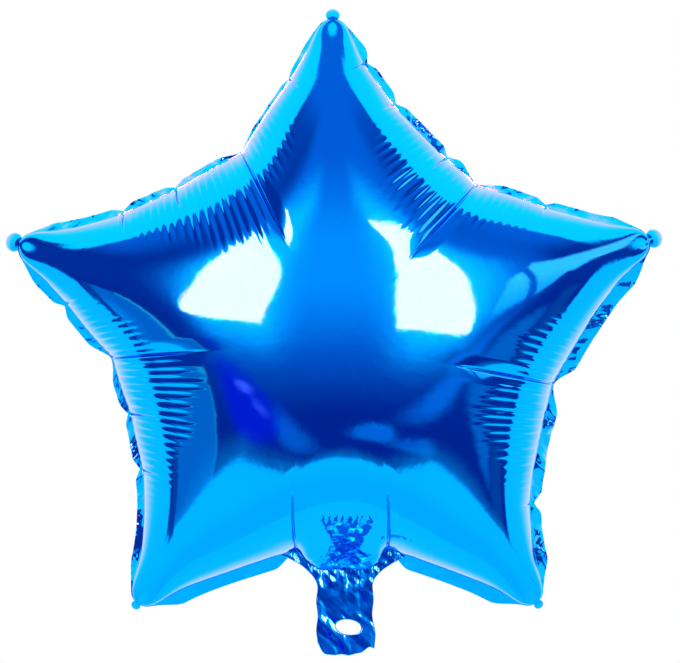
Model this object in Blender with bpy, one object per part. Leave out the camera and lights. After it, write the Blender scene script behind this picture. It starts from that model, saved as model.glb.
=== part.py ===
"""An inflated star-shaped foil balloon with its filling tail below it, in metres, +Z up, front towards -Y.

The real one is two sheets of metallised film welded together round a flat margin, which makes a sealed bag:
five blunt arms that fill out to round cones, a domed middle, and a neck that flattens into the tail.
Film that is too long for the shrunken edge gathers into pleats, and deep creases cross the rolled edge.
The origin is the middle of the ribbon hole in the tail.
"""

import math

import bmesh
import bpy
import numpy as np

MM = 0.001

# Star, seen from the front: distances in mm from its middle, angles in degrees clockwise
STAR_RADIUS = 229.0
VALLEY_RADIUS = 150.0
ARM_STEP = 72.0
NECK_LEAN = -2.5
NECK_ANGLE = 2.5 * ARM_STEP + NECK_LEAN
NECK_TO_VALLEYS = (11.5, 12.8)  # turn from the neck to the valley on its right and on its left
# Arm name, angle and radius of its end, length of its tab, then for its anticlockwise and clockwise edge:
# bow (+ outward), width of the margin, and the shares from end to valley where creases cross
ARMS = (
    ("top", -0.4, STAR_RADIUS - 4.0, 7.2, (0.5, 2.5, (0.46,)), (-7.0, 5.5, (0.25, 0.48, 0.82))),
    ("right", ARM_STEP + 0.2, STAR_RADIUS + 1.5, 9.0, (0.0, 5.0, (0.6,)), (-3.5, 9.0, ())),
    ("lower_right", 2 * ARM_STEP - 1.7, STAR_RADIUS + 2.0, 4.6, (-10.0, 8.0, (0.45,)), (-1.0, 9.0, ())),
    ("neck", NECK_ANGLE, VALLEY_RADIUS + 9.0, 1.0, (7.0, 2.0, ()), (7.0, 2.0, ())),
    ("lower_left", 3 * ARM_STEP + 1.0, STAR_RADIUS + 0.5, 4.6, (-1.0, 8.5, ()), (-13.0, 5.0, (0.54, 0.77))),
    ("left", 4 * ARM_STEP - 0.9, STAR_RADIUS + 2.0, 9.5, (0.5, 6.0, (0.52,)), (-8.0, 5.0, (0.45, 0.69))),
)
# The valley that follows each arm, clockwise: angle, and radius
VALLEYS = (
    (0.5 * ARM_STEP + 6.1, VALLEY_RADIUS - 3.0),
    (1.5 * ARM_STEP - 6.8, VALLEY_RADIUS + 5.5),
    (NECK_ANGLE - NECK_TO_VALLEYS[0], VALLEY_RADIUS),
    (NECK_ANGLE + NECK_TO_VALLEYS[1], VALLEY_RADIUS - 1.5),
    (3.5 * ARM_STEP + 13.6, VALLEY_RADIUS + 6.5),
    (4.5 * ARM_STEP + 9.7, VALLEY_RADIUS - 3.0),
)
SHOULDER = 5.5  # how far a blunt arm end stands out from the straight edge
SHOULDER_RUN = 12.0  # and how far from the end it does so
LONG_EDGE = 70.0  # an edge shorter than this, as at the neck, has no shoulder
STRIP_START = 19.0  # the margin's strip is half its width this far from an arm's end
STRIP_STOP = 10.0  # and this far from a valley
TAB_HALF_WIDTH = 5.5
END_TURN = 5.0  # stretch over which the margin turns to point straight out at ends and valleys
PINCH = 5.0  # half the stretch over which a crease pinches the margin
RIDGE_START = 14.0  # the ridge line of an arm begins this far in from its end
RIDGE_TURN = 0.74  # share of the ridge that square lines from the edge would reach

# Inflation
HALF_DEPTH = 88.0  # height of the domed middle above the mid-plane
CONE_RATE = 2.6  # how fast an arm's roundness grows with distance from its end
CONE_START = 6.0  # distance from the end where it has reached half that rate
MARGIN_THICK = 0.8  # the two welded films of the margin, with their crinkles
LEAST_MARGIN = 1.2

# Gathers
PLEAT_PITCH = 9.0
PLEAT_DEPTH = 1.1
PLEAT_FROM = 0.4  # share of the edge, from the arm's end, where pleats begin
PLEAT_RISE = (5.0, 16.0)  # distance in from the weld over which a pleat grows
PLEAT_END = (30.0, 62.0)  # distance in from the weld where it has died away, mid-edge and at a valley
CREASE_DEPTH = 2.6
CREASE_HALF_WIDTH = 2.6
CREASE_END = 42.0
VALLEY_CREASE_DEPTH = 4.0
VALLEY_CREASE_END = 75.0
NOTCH = 1.6  # how far a crease pulls the weld inwards

# Tail
TAIL_HALF_WIDTH = 19.6
TAIL_LENGTH = 62.0  # from the end of the neck to the cut end
TAIL_THICK = 1.4
TAIL_FLARE = 17.0  # how much wider the tail is where it meets the star on each side
TAIL_FLARE_RUN = 22.0
TAIL_TUCK = 18.0  # how far the films of the tail run up into the neck
TAIL_CORNER = 9.0
TAIL_SPREAD = 1.5  # the torn end is this much wider on the right
TAIL_FOLD = 0.9  # height of the folds where the tail leaves the neck
TAIL_FOLD_PITCH = 10.0
TAIL_FOLD_END = 17.0  # they have flattened out this far below it
HOLE_WIDTH = 18.0
HOLE_HEIGHT = 10.5
HOLE_TILT = -8.0
HOLE_ABOVE_END = 20.5
HOLE_ASIDE = 2.5

# Mesh density
SMOOTH_COLUMNS = 7
CROWN_ROWS = 10
FINE_ROWS = 6
COARSE_COLUMNS = 7
TAIL_ROWS = 7
TAIL_COLUMNS = 12

FOIL_BLUE = (0.0, 0.34, 0.95, 1.0)


def smooth(value, low, high):
    """0 below low, 1 above high, with a soft rise between."""
    share = np.clip((value - low) / (high - low), 0.0, 1.0)
    return share * share * (3.0 - 2.0 * share)


def polar(angle, radius):
    """A point of the star's plane, in mm: x to the right, z up."""
    turn = math.radians(angle)
    return np.array((radius * math.sin(turn), radius * math.cos(turn)))


class Edge:
    """One edge of the star, from the end of an arm to a valley."""

    def __init__(self, arm, side):
        _, angle, radius, self.tab, *edges = ARMS[arm]
        self.bow, self.margin, self.creases = edges[side]
        self.end = polar(angle, radius)
        self.valley = polar(*VALLEYS[arm - 1 + side])
        self.run = self.valley - self.end
        self.length = float(np.linalg.norm(self.run))
        outward = np.array((-self.run[1], self.run[0])) / self.length
        self.outward = outward * (1.0 if side else -1.0)
        self.blunt = SHOULDER if self.length > LONG_EDGE else 0.0
        self.side = side

    def weld(self, share):
        """Points of the weld line at these shares of the way from the arm's end to the valley."""
        share = np.asarray(share, float)
        along = share * self.length / SHOULDER_RUN
        out = self.bow * np.sin(math.pi * share) + self.blunt * along * np.exp(1.0 - along) * (1.0 - share)
        for crease in self.creases:
            near = np.clip(1.0 - np.abs(share - crease) * self.length / (2.0 * CREASE_HALF_WIDTH), 0.0, 1.0)
            out = out - NOTCH * near * near
        return self.end + share[:, None] * self.run + out[:, None] * self.outward

    def ridge(self, share):
        """Where the lines that run in from those weld points meet the ridge of the arm."""
        share = np.asarray(share, float)
        reach = RIDGE_TURN * share + (1.0 - RIDGE_TURN) * share**4
        start = self.end * (1.0 - RIDGE_START / np.linalg.norm(self.end))
        return start * (1.0 - reach)[:, None]

    def margin_width(self, share):
        """Width of the margin: a rounded tab at the arm's end, then a strip that the creases pinch."""
        share = np.asarray(share, float)
        along = share * self.length
        strip = self.margin * smooth(along, 0.4 * STRIP_START, 1.6 * STRIP_START)
        strip = strip * smooth(self.length - along, 0.0, 2.0 * STRIP_STOP)
        for crease in self.creases:
            strip = strip * (1.0 - 0.7 * np.exp(-(((along - crease * self.length) / PINCH) ** 2)))
        return LEAST_MARGIN + strip + self.tab * np.exp(-((along / TAB_HALF_WIDTH) ** 2))

    def columns(self):
        """Shares of the edge where lines of the mesh start: few near the arm's end, two to each pleat."""
        pleats = max(2, round(self.length * (1.0 - PLEAT_FROM) / PLEAT_PITCH))
        even = list(PLEAT_FROM * np.linspace(0.0, 1.0, SMOOTH_COLUMNS + 1)[:-1] ** 1.7)
        gathered = list(np.linspace(PLEAT_FROM, 1.0, 2 * pleats + 1))
        width = CREASE_HALF_WIDTH / self.length
        marks = [crease + step * width for crease in self.creases for step in (-1.0, 0.0, 1.0)]
        clear = [s for s in even + gathered if all(abs(s - mark) > 0.45 * width for mark in marks)]
        return np.array(sorted(clear + marks + [1.0 - width]))


EDGES = [Edge(arm, side) for arm in range(len(ARMS)) for side in (0, 1)]


def weld_outline():
    """The whole weld line as one closed loop, clockwise from the front."""
    points = []
    for edge in EDGES:
        share = edge.columns()
        points.append(edge.weld(share[:-1] if edge.side else share[:0:-1]))
    return np.concatenate(points)


def closeness(points, outline):
    """How near the outline lies to each point: the sum of 1 / distance to it, over the full turn."""
    total = np.zeros(len(points))
    for start, end in zip(outline, np.roll(outline, -1, axis=0)):
        along = (end - start) / np.linalg.norm(end - start)
        out = np.array((-along[1], along[0]))
        gap = (start - points) @ out
        first, last = (start - points) @ along, (end - points) @ along
        turned = last / np.hypot(last, gap) - first / np.hypot(first, gap)
        total += np.where(np.abs(gap) > 1e-7, turned / np.where(np.abs(gap) > 1e-7, gap, 1.0), 0.0)
    return total


OUTLINE = weld_outline()
ENDS = np.array([edge.end for edge in EDGES if edge.side])


def roundness(points):
    """Width in mm that sets how round the bag is: it grows from an arm's end and levels off."""
    gaps = np.linalg.norm(points[:, None, :] - ENDS[None, :, :], axis=2) + 1e-6
    end_gap = np.sum(gaps**-4.0, axis=1) ** -0.25
    near_end = CONE_RATE * end_gap**2 / (end_gap + CONE_START)
    return near_end / (1.0 + (near_end / LEVEL_WIDTH) ** 6.0) ** (1.0 / 6.0)


# Level width that gives the middle its half depth
LEVEL_WIDTH = 0.5 * HALF_DEPTH**2 * closeness(np.zeros((1, 2)), OUTLINE)[0]


def height(points):
    """Height of the smooth bag above the mid-plane: a round pipe across an arm, a dome in the middle."""
    room = 2.0 / np.maximum(closeness(points, OUTLINE), 1e-9)
    return np.sqrt(np.maximum(room * roundness(points), 0.0))


def gather(edge, share, inward, zigzag):
    """How far the film stands off the smooth bag, a distance in from the weld at a share of the edge."""
    grown = smooth(share, PLEAT_FROM, 0.85)
    end = PLEAT_END[0] + (PLEAT_END[1] - PLEAT_END[0]) * share**3
    shown = smooth(inward, *PLEAT_RISE) * (1.0 - smooth(inward, 0.5 * end, end))
    off = PLEAT_DEPTH * grown * zigzag * shown
    for crease in edge.creases:
        near = math.exp(-((share - crease) * edge.length / CREASE_HALF_WIDTH * 1.5) ** 2)
        off -= CREASE_DEPTH * near * (1.0 - smooth(inward, 0.3 * CREASE_END, CREASE_END))
    near = math.exp(-((1.0 - share) * edge.length / CREASE_HALF_WIDTH * 1.2) ** 2)
    shown = 1.0 - smooth(inward, 0.3 * VALLEY_CREASE_END, VALLEY_CREASE_END)
    return off - VALLEY_CREASE_DEPTH * near * shown


def stitch(mesh, near, far):
    """Triangles between two rows of (share, vertex), which may hold different numbers of vertices."""
    a = b = 0
    while a < len(near) - 1 or b < len(far) - 1:
        step_near = b == len(far) - 1 or (a < len(near) - 1 and near[a + 1][0] <= far[b + 1][0])
        third = near[a + 1][1] if step_near else far[b + 1][1]
        corners = (near[a][1], far[b][1], third)
        if len(set(corners)) == 3:
            mesh.faces.new(corners)
        a, b = (a + 1, b) if step_near else (a, b + 1)


def add_half_arm(mesh, layer, edge):
    """The front film of one edge of the star, from the outer line of its margin to the arm's ridge."""
    fine = edge.columns()
    coarse = np.linspace(0.0, 1.0, COARSE_COLUMNS + 1)
    rows = 1.0 - np.cos(np.linspace(0.0, math.pi / 2.0, CROWN_ROWS + 1))
    flat = -0.5 * MARGIN_THICK
    weld, ridge = edge.weld(fine), edge.ridge(fine)
    outside = weld + edge.margin_width(fine)[:, None] * weld_normals(edge, fine)
    made = [[(s, mesh.verts.new((x * MM, flat * MM, z * MM))) for s, (x, z) in zip(fine, outside)]]
    inward = np.zeros(len(fine))
    before = np.column_stack((weld, np.zeros(len(fine))))
    for row in rows[: FINE_ROWS + 1]:
        spots = weld + row * (ridge - weld)
        tall = height(spots) if row > 0 else np.zeros(len(fine))
        here = np.column_stack((spots, tall))
        inward += np.linalg.norm(here - before, axis=1)
        before = here
        line = []
        for column, (x, z, y) in enumerate(here):
            vertex = mesh.verts.new((x * MM, (flat - y) * MM, z * MM))
            zigzag = 1.0 if column % 2 else -1.0
            vertex[layer] = gather(edge, fine[column], inward[column], zigzag) if row > 0 else 0.0
            line.append((fine[column], vertex))
        made.append(line)
    weld, ridge = edge.weld(coarse), edge.ridge(coarse)
    for row in rows[FINE_ROWS + 1 :]:
        spots = weld + row * (ridge - weld)
        tall = height(spots)
        line = [mesh.verts.new((x * MM, (flat - y) * MM, z * MM)) for (x, z), y in zip(spots, tall)]
        made.append(list(zip(coarse, line)))
    for near, far in zip(made, made[1:]):
        stitch(mesh, near, far)


def weld_normals(edge, share):
    """Outward directions across the weld line, from its slope on both sides of each point."""
    step = 0.5 / edge.length
    slope = edge.weld(np.minimum(share + step, 1.0)) - edge.weld(np.maximum(share - step, 0.0))
    normal = np.column_stack((-slope[:, 1], slope[:, 0])) * (1.0 if edge.side else -1.0)
    normal /= np.linalg.norm(normal, axis=1)[:, None]
    radial = edge.weld(share)
    radial /= np.linalg.norm(radial, axis=1)[:, None]
    along = share * edge.length
    blend = 1.0 - smooth(along, 0.0, END_TURN) + smooth(along, edge.length - END_TURN, edge.length)
    normal = normal * (1.0 - blend)[:, None] + radial * blend[:, None]
    return normal / np.linalg.norm(normal, axis=1)[:, None]


def make_bag():
    """The inflated star with its welded margin, as one closed body."""
    mesh = bmesh.new()
    layer = mesh.verts.layers.float.new("stand_off")
    for edge in EDGES:
        add_half_arm(mesh, layer, edge)
    bmesh.ops.remove_doubles(mesh, verts=mesh.verts, dist=0.02 * MM)
    bmesh.ops.recalc_face_normals(mesh, faces=mesh.faces)
    if sum(face.normal.y for face in mesh.faces) > 0.0:
        bmesh.ops.reverse_faces(mesh, faces=mesh.faces)
    mesh.normal_update()
    moves = [(vertex, vertex.normal * vertex[layer] * MM) for vertex in mesh.verts]
    for vertex, move in moves:
        vertex.co += move
    front = list(mesh.verts) + list(mesh.edges) + list(mesh.faces)
    copy = bmesh.ops.duplicate(mesh, geom=front)["geom"]
    back = [item for item in copy if isinstance(item, bmesh.types.BMVert)]
    for vertex in back:
        vertex.co.y = -vertex.co.y
    bmesh.ops.reverse_faces(mesh, faces=[item for item in copy if isinstance(item, bmesh.types.BMFace)])
    bmesh.ops.bridge_loops(mesh, edges=[edge for edge in mesh.edges if edge.is_boundary])
    bmesh.ops.triangulate(mesh, faces=[face for face in mesh.faces if len(face.verts) > 3])
    return mesh


def tail_half_width(below):
    """Half the width of the tail at this distance below the end of the neck, on either side."""
    return TAIL_HALF_WIDTH + TAIL_FLARE * np.clip(0.75 - below / TAIL_FLARE_RUN, 0.0, 1.0) ** 2.5


def tail_end_outline():
    """The flat end of the tail below its folds, from its upper right corner round to its upper left one."""
    corner_below = TAIL_LENGTH - 0.9 * TAIL_CORNER
    points = [(TAIL_HALF_WIDTH, 0.5 * (TAIL_FOLD_END + corner_below))]
    points.append((TAIL_HALF_WIDTH + TAIL_SPREAD, corner_below))
    points.append((TAIL_HALF_WIDTH - 0.5 * TAIL_CORNER, TAIL_LENGTH - 0.5 * TAIL_CORNER))
    points.append((TAIL_HALF_WIDTH - 0.9 * TAIL_CORNER, TAIL_LENGTH))
    points.append((-0.5 * TAIL_CORNER, TAIL_LENGTH))
    for turn in np.linspace(0.0, math.pi / 2.0, 4):
        aside, up = TAIL_CORNER * (1.0 - math.sin(turn)), TAIL_CORNER * (1.3 - math.cos(turn))
        points.append((aside - TAIL_HALF_WIDTH, TAIL_LENGTH - up))
    return points


def fold_depth(across, below, side):
    """Lengthwise folds where the films leave the neck; they flatten out before the hole."""
    turns = 2.0 * math.pi * across / TAIL_FOLD_PITCH
    wave = np.sin(turns + 0.9 * side + below / TAIL_FOLD_END)
    wave = wave + 0.6 * np.sin(0.53 * turns - 1.3 * below / TAIL_FOLD_END + 2.1 * side)
    return 0.5 * TAIL_FOLD * (1.3 + wave) * (1.0 - smooth(below, 0.3 * TAIL_FOLD_END, TAIL_FOLD_END))


def make_tail():
    """The two films of the tail: folded lengthwise below the neck, flat round the ribbon hole."""
    middle, neck_end = polar(*ARMS[3][1:3])
    mesh = bmesh.new()
    outlines = []
    for side in (-1.0, 1.0):
        rows = []
        for below in np.linspace(-TAIL_TUCK, TAIL_FOLD_END, TAIL_ROWS + 1):
            half = tail_half_width(below)
            row = []
            for across in np.linspace(-half, half, TAIL_COLUMNS + 1):
                out = side * (0.5 * TAIL_THICK + fold_depth(across, below, side))
                row.append(mesh.verts.new(((middle + across) * MM, out * MM, (neck_end - below) * MM)))
            rows.append(row)
        end = [
            mesh.verts.new(((middle + across) * MM, side * 0.5 * TAIL_THICK * MM, (neck_end - below) * MM))
            for across, below in tail_end_outline()
        ]
        for upper, lower in zip(rows, rows[1:]):
            for j in range(TAIL_COLUMNS):
                mesh.faces.new((upper[j], upper[j + 1], lower[j + 1], lower[j]))
        mesh.faces.new(rows[-1] + end)
        outlines.append(rows[0] + [row[-1] for row in rows[1:]] + end + [row[0] for row in rows[:0:-1]])
    front, back = outlines
    for j in range(len(front)):
        mesh.faces.new((front[j - 1], front[j], back[j], back[j - 1]))
    bmesh.ops.recalc_face_normals(mesh, faces=mesh.faces)
    bmesh.ops.triangulate(mesh, faces=[face for face in mesh.faces if len(face.verts) == 4])
    return mesh


def hole_centre():
    middle, neck_end = polar(*ARMS[3][1:3])
    return middle + HOLE_ASIDE, neck_end - TAIL_LENGTH + HOLE_ABOVE_END


def plate(name, outline, thickness):
    """A flat piece of this outline, centred on the mid-plane."""
    mesh = bmesh.new()
    bottom = [mesh.verts.new((x * MM, 0.5 * thickness * MM, z * MM)) for x, z in outline]
    face = mesh.faces.new(bottom)
    grown = bmesh.ops.extrude_face_region(mesh, geom=[face])["geom"]
    for item in grown:
        if isinstance(item, bmesh.types.BMVert):
            item.co.y -= thickness * MM
    bmesh.ops.recalc_face_normals(mesh, faces=mesh.faces)
    return add_object(name, mesh)


def add_object(name, mesh):
    data = bpy.data.meshes.new(name)
    mesh.to_mesh(data)
    mesh.free()
    made = bpy.data.objects.new(name, data)
    bpy.context.scene.collection.objects.link(made)
    return made


def cut_or_join(target, other, operation):
    step = target.modifiers.new(other.name, "BOOLEAN")
    step.object = other
    step.operation = operation
    other.hide_render = True
    other.display_type = "WIRE"


def foil_material():
    material = bpy.data.materials.new("blue_foil")
    material.use_nodes = True
    shader = material.node_tree.nodes["Principled BSDF"]
    shader.inputs["Base Color"].default_value = FOIL_BLUE
    shader.inputs["Metallic"].default_value = 1.0
    shader.inputs["Roughness"].default_value = 0.08
    return material


def main():
    for old in list(bpy.data.objects):
        bpy.data.objects.remove(old)
    balloon = add_object("star_balloon", make_bag())
    tail = add_object("tail_films", make_tail())
    across, up = hole_centre()
    turn = math.radians(HOLE_TILT)
    hole = []
    for angle in np.linspace(0.0, 2.0 * math.pi, 20, endpoint=False):
        x, z = 0.5 * HOLE_WIDTH * math.cos(angle), 0.5 * HOLE_HEIGHT * math.sin(angle)
        turned = (x * math.cos(turn) - z * math.sin(turn), x * math.sin(turn) + z * math.cos(turn))
        hole.append((across + turned[0], up + turned[1]))
    punch = plate("ribbon_hole_cutter", hole, 6.0 * TAIL_THICK)
    cut_or_join(balloon, tail, "UNION")
    cut_or_join(balloon, punch, "DIFFERENCE")
    for item in (balloon, tail, punch):
        item.location = (-across * MM, 0.0, -up * MM)
    balloon.data.materials.append(foil_material())
    balloon.data.shade_smooth()
    balloon.data.set_sharp_from_angle(angle=math.radians(40.0))


main()
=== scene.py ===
"""A blue star foil balloon, filled and sealed, with its tail hanging below it."""

import math

import bmesh
import bpy
import numpy as np
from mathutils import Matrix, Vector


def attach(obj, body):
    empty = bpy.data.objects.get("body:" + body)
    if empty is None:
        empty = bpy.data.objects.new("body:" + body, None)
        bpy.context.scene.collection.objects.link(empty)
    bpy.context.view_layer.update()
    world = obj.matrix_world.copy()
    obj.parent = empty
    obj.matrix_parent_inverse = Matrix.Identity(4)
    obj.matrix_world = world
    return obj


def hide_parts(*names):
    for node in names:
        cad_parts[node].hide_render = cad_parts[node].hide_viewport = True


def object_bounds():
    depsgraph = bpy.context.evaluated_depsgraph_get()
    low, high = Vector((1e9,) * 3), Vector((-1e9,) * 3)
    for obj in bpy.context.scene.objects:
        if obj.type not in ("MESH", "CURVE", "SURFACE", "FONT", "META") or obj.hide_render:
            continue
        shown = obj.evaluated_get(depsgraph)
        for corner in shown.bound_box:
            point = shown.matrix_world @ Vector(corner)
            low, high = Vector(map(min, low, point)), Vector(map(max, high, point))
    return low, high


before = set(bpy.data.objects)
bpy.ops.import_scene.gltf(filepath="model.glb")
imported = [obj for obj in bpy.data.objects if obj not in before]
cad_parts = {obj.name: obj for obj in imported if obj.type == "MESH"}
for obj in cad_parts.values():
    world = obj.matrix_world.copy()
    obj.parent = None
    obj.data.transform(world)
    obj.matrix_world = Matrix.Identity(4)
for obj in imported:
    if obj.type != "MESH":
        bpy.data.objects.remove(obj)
solid_box = [list(corner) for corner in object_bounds()]


# The cut and the weld line.
# Two sheets of metallised nylon film lie face to face and are heat-welded along one line, which gives the star
# its five blunt arms and the neck. Filling the bag shortens that line, so it bows, and creases notch it.

MM = 0.001
HOLE_FROM_STAR = (9.44, -200.35)  # the ribbon hole, seen from the middle of the star
STAR_MIDDLE = (-HOLE_FROM_STAR[0], -HOLE_FROM_STAR[1])

STAR_RADIUS = 229.0
VALLEY_RADIUS = 150.0
# Clockwise from the top: angle and radius of the arm's end, radius of its tab, and then for its anticlockwise and
# its clockwise edge the bow, margin's width, height and reach of the pleats, and creases (share of the edge, depth)
ARMS = (
    (359.6, STAR_RADIUS - 4.0, 4.9,
     (0.5, 2.5, 0.8, 86.0, ((0.46, 0.5),)), (-7.0, 5.5, 0.9, 108.0, ((0.25, 0.5), (0.48, 0.5), (0.82, 1.0)))),
    (72.2, STAR_RADIUS + 1.5, 6.6, (0.0, 5.0, 0.7, 80.0, ((0.6, 0.3),)), (-3.5, 9.0, 1.0, 88.0, ())),
    (142.3, STAR_RADIUS + 2.0, 3.4, (-10.0, 8.0, 1.0, 98.0, ((0.45, 0.3),)), (-1.0, 9.0, 0.12, 50.0, ())),
    (177.5, VALLEY_RADIUS + 9.0, 0.0, (7.0, 2.0, 0.1, 100.0, ()), (7.0, 2.0, 0.1, 100.0, ())),
    (217.0, STAR_RADIUS + 0.5, 3.4,
     (-1.0, 8.5, 0.12, 50.0, ()), (-13.0, 5.0, 1.15, 108.0, ((0.54, 0.8), (0.77, 1.0)))),
    (287.1, STAR_RADIUS + 2.0, 6.7,
     (0.5, 6.0, 0.9, 84.0, ((0.52, 0.3),)), (-8.0, 5.0, 1.05, 116.0, ((0.45, 0.9), (0.69, 1.0)))),
)
# The valley that follows each arm: its angle and radius, and how far the lines of the mesh lean over beside the neck
VALLEYS = (
    (42.1, VALLEY_RADIUS - 3.0, 0.0),
    (101.2, VALLEY_RADIUS + 5.5, 0.0),
    (166.0, VALLEY_RADIUS, 24.0),
    (190.3, VALLEY_RADIUS - 1.5, -24.0),
    (265.6, VALLEY_RADIUS + 6.5, 0.0),
    (333.7, VALLEY_RADIUS - 3.0, 0.0),
)
SHOULDER = 5.5  # how far a blunt arm end stands out from the straight edge
SHOULDER_RUN = 12.0  # and how far from the end it does so
RIDGE_START = 6.0  # the ridge of an arm begins this far in from its end
RIDGE_TURN = 0.74  # share of the ridge that square lines from the edge would reach
PLEAT_PITCH = 5.1
PLEAT_FROM = 0.36  # share of the edge, from the arm's end, where pleats begin
NECK_EDGE_UNDER = 60.0  # an edge shorter than this belongs to the neck
CREASE_HALF_WIDTH = 0.8
NOTCH_HALF_WIDTH = 2.9
NOTCH = 1.6


def smooth(value, low, high):
    share = np.clip((value - low) / (high - low), 0.0, 1.0)
    return share * share * (3.0 - 2.0 * share)


def polar(angle, radius):
    turn = math.radians(angle)
    return np.array((radius * math.sin(turn), radius * math.cos(turn)))


class Edge:
    """One edge of the star, from the end of an arm to a valley, with its own pleats."""

    def __init__(self, arm, side, seed):
        angle, radius, _, *edges = ARMS[arm]
        self.bow, self.margin, self.pleat_height, self.pleat_reach, self.creases = edges[side]
        valley_angle, valley_radius, lean = VALLEYS[arm - 1 + side]
        self.end, self.valley = polar(angle, radius), polar(valley_angle, valley_radius)
        self.valley_lean = polar(valley_angle + 90.0, -lean)
        self.run = self.valley - self.end
        self.length = float(np.linalg.norm(self.run))
        self.outward = np.array((-self.run[1], self.run[0])) / self.length * (1.0 if side else -1.0)
        self.blunt = SHOULDER * float(smooth(self.length, 40.0, 100.0))
        self.side = side
        self.neck = self.length < NECK_EDGE_UNDER
        self.beside_neck = lean != 0.0
        chance = np.random.default_rng(seed)
        first = 2.0 if self.neck else PLEAT_FROM * self.length
        count = max(3, round((self.length - first) / PLEAT_PITCH))
        steps = chance.uniform(0.84, 1.16, count)
        self.pleats = first + (self.length - first) * np.concatenate(([0.0], np.cumsum(steps) / steps.sum()))
        self.columns = self.lay_columns()

    def lay_columns(self):
        """Distances along the edge where lines of the mesh start: six to a pleat, more at the creases."""
        smooth_part = np.concatenate((np.linspace(0.0, 16.0, 12), np.arange(18.0, self.pleats[0] - 1.0, 2.0)))
        smooth_part = smooth_part[smooth_part < self.pleats[0] - 0.5]
        starts, widths = self.pleats[:-1], np.diff(self.pleats)
        gathered = (starts[:, None] + widths[:, None] * np.arange(6) / 6.0).ravel()
        marks = [share * self.length + step * CREASE_HALF_WIDTH for share, _ in self.creases
                 for step in (-1.0, -0.5, -0.2, 0.0, 0.2, 0.5, 1.0)]
        beside = (0.1, 0.2, 0.35, 0.6, 0.9, 1.3, 1.8, 2.4) if self.neck else (0.4, 0.8, 1.2, 1.8, 2.4)
        marks += [self.length - step for step in beside]
        if self.neck:
            share = np.linspace(0.0, 1.0, 400)
            marks += list(self.length * np.interp(np.linspace(0.45, 0.98, 36), self.reach(share), share))
        kept = [s for s in np.concatenate((smooth_part, gathered)) if all(abs(s - mark) > 0.35 for mark in marks)]
        return np.array(sorted(kept + marks + [self.length]))

    def weld(self, along):
        share, reach = along / self.length, along / SHOULDER_RUN
        out = self.bow * np.sin(math.pi * share) + self.blunt * reach * np.exp(1.0 - reach) * (1.0 - share)
        for crease, depth in self.creases:
            near = np.clip(1.0 - np.abs(along - crease * self.length) / NOTCH_HALF_WIDTH, 0.0, 1.0)
            out = out - NOTCH * depth * near * near
        return self.end + share[:, None] * self.run + out[:, None] * self.outward

    def reach(self, share):
        """How far down the ridge, from the arm's end to the middle, the line from this share of the edge runs."""
        return RIDGE_TURN * share + (1.0 - RIDGE_TURN) * share**4

    def ridge(self, along):
        start = self.end * (1.0 - RIDGE_START / np.linalg.norm(self.end))
        return start * (1.0 - self.reach(along / self.length))[:, None]

    def lines(self, along, rows):
        """Points on the lines from the weld to the ridge; those at the neck's valleys first run straight up."""
        weld, ridge = self.weld(along), self.ridge(along)
        share = along / self.length
        lean = (share**3)[:, None] * self.valley_lean
        return [weld + row * (ridge - weld) + 2.0 * row * (1.0 - row) * lean for row in rows]

    def outside_normals(self, along):
        before, after = self.weld(np.maximum(along - 0.5, 0.0)), self.weld(np.minimum(along + 0.5, self.length))
        slope = after - before
        normal = np.column_stack((-slope[:, 1], slope[:, 0])) * (1.0 if self.side else -1.0)
        normal /= np.linalg.norm(normal, axis=1)[:, None]
        radial = self.weld(along)
        radial /= np.linalg.norm(radial, axis=1)[:, None]
        turn = (1.0 - smooth(along, 0.0, 4.0) + smooth(along, self.length - 6.0, self.length))[:, None]
        normal = normal * (1.0 - turn) + radial * turn
        return normal / np.linalg.norm(normal, axis=1)[:, None]

    def margin_width(self, along):
        strip = self.margin * smooth(along, 8.0, 30.0) * smooth(self.length - along, 0.0, 20.0)
        for crease, _ in self.creases:
            strip = strip * (1.0 - 0.7 * np.exp(-(((along - crease * self.length) / 5.0) ** 2)))
        return 0.8 + strip


edges = [Edge(arm, side, 10 * arm + side) for arm in range(len(ARMS)) for side in (0, 1)]


# The filled bag.
# The film doesn't stretch, so the gas rounds each arm into a cone and the middle into a broad dome, upright where
# the two films meet. The height over any point follows from how near the weld line lies to it all round.

HALF_DEPTH = 88.0
CONE_RATE = 2.6  # how fast an arm's roundness grows with distance from its end
CONE_START = 6.0  # distance from the end where it has reached half that rate
ROLL_ROWS = 42
CROWN_ROWS = 14

neck_radius = ARMS[3][1]
tail_middle = polar(*ARMS[3][:2])[0]
outline = np.concatenate([edge.weld(edge.columns[:-1] if edge.side else edge.columns[:0:-1]) for edge in edges])
arm_ends = np.array([edge.end for edge in edges if edge.side])


def closeness(points):
    """The sum of 1 / distance to the weld line over the full turn, one chord of the line at a time."""
    starts, ends = outline, np.roll(outline, -1, axis=0)
    along = (ends - starts) / np.linalg.norm(ends - starts, axis=1)[:, None]
    out = np.column_stack((-along[:, 1], along[:, 0]))
    total = np.empty(len(points))
    for chunk in range(0, len(points), 2000):
        here = points[chunk:chunk + 2000]
        gap = (starts * out).sum(1) - here @ out.T
        first = (starts * along).sum(1) - here @ along.T
        last = (ends * along).sum(1) - here @ along.T
        turned = last / np.hypot(last, gap) - first / np.hypot(first, gap)
        gap = np.where(np.abs(gap) > 1e-7, gap, np.inf)
        total[chunk:chunk + 2000] = (turned / gap).sum(1)
    return total


level_width = 0.5 * HALF_DEPTH**2 * closeness(np.zeros((1, 2)))[0]


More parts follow.
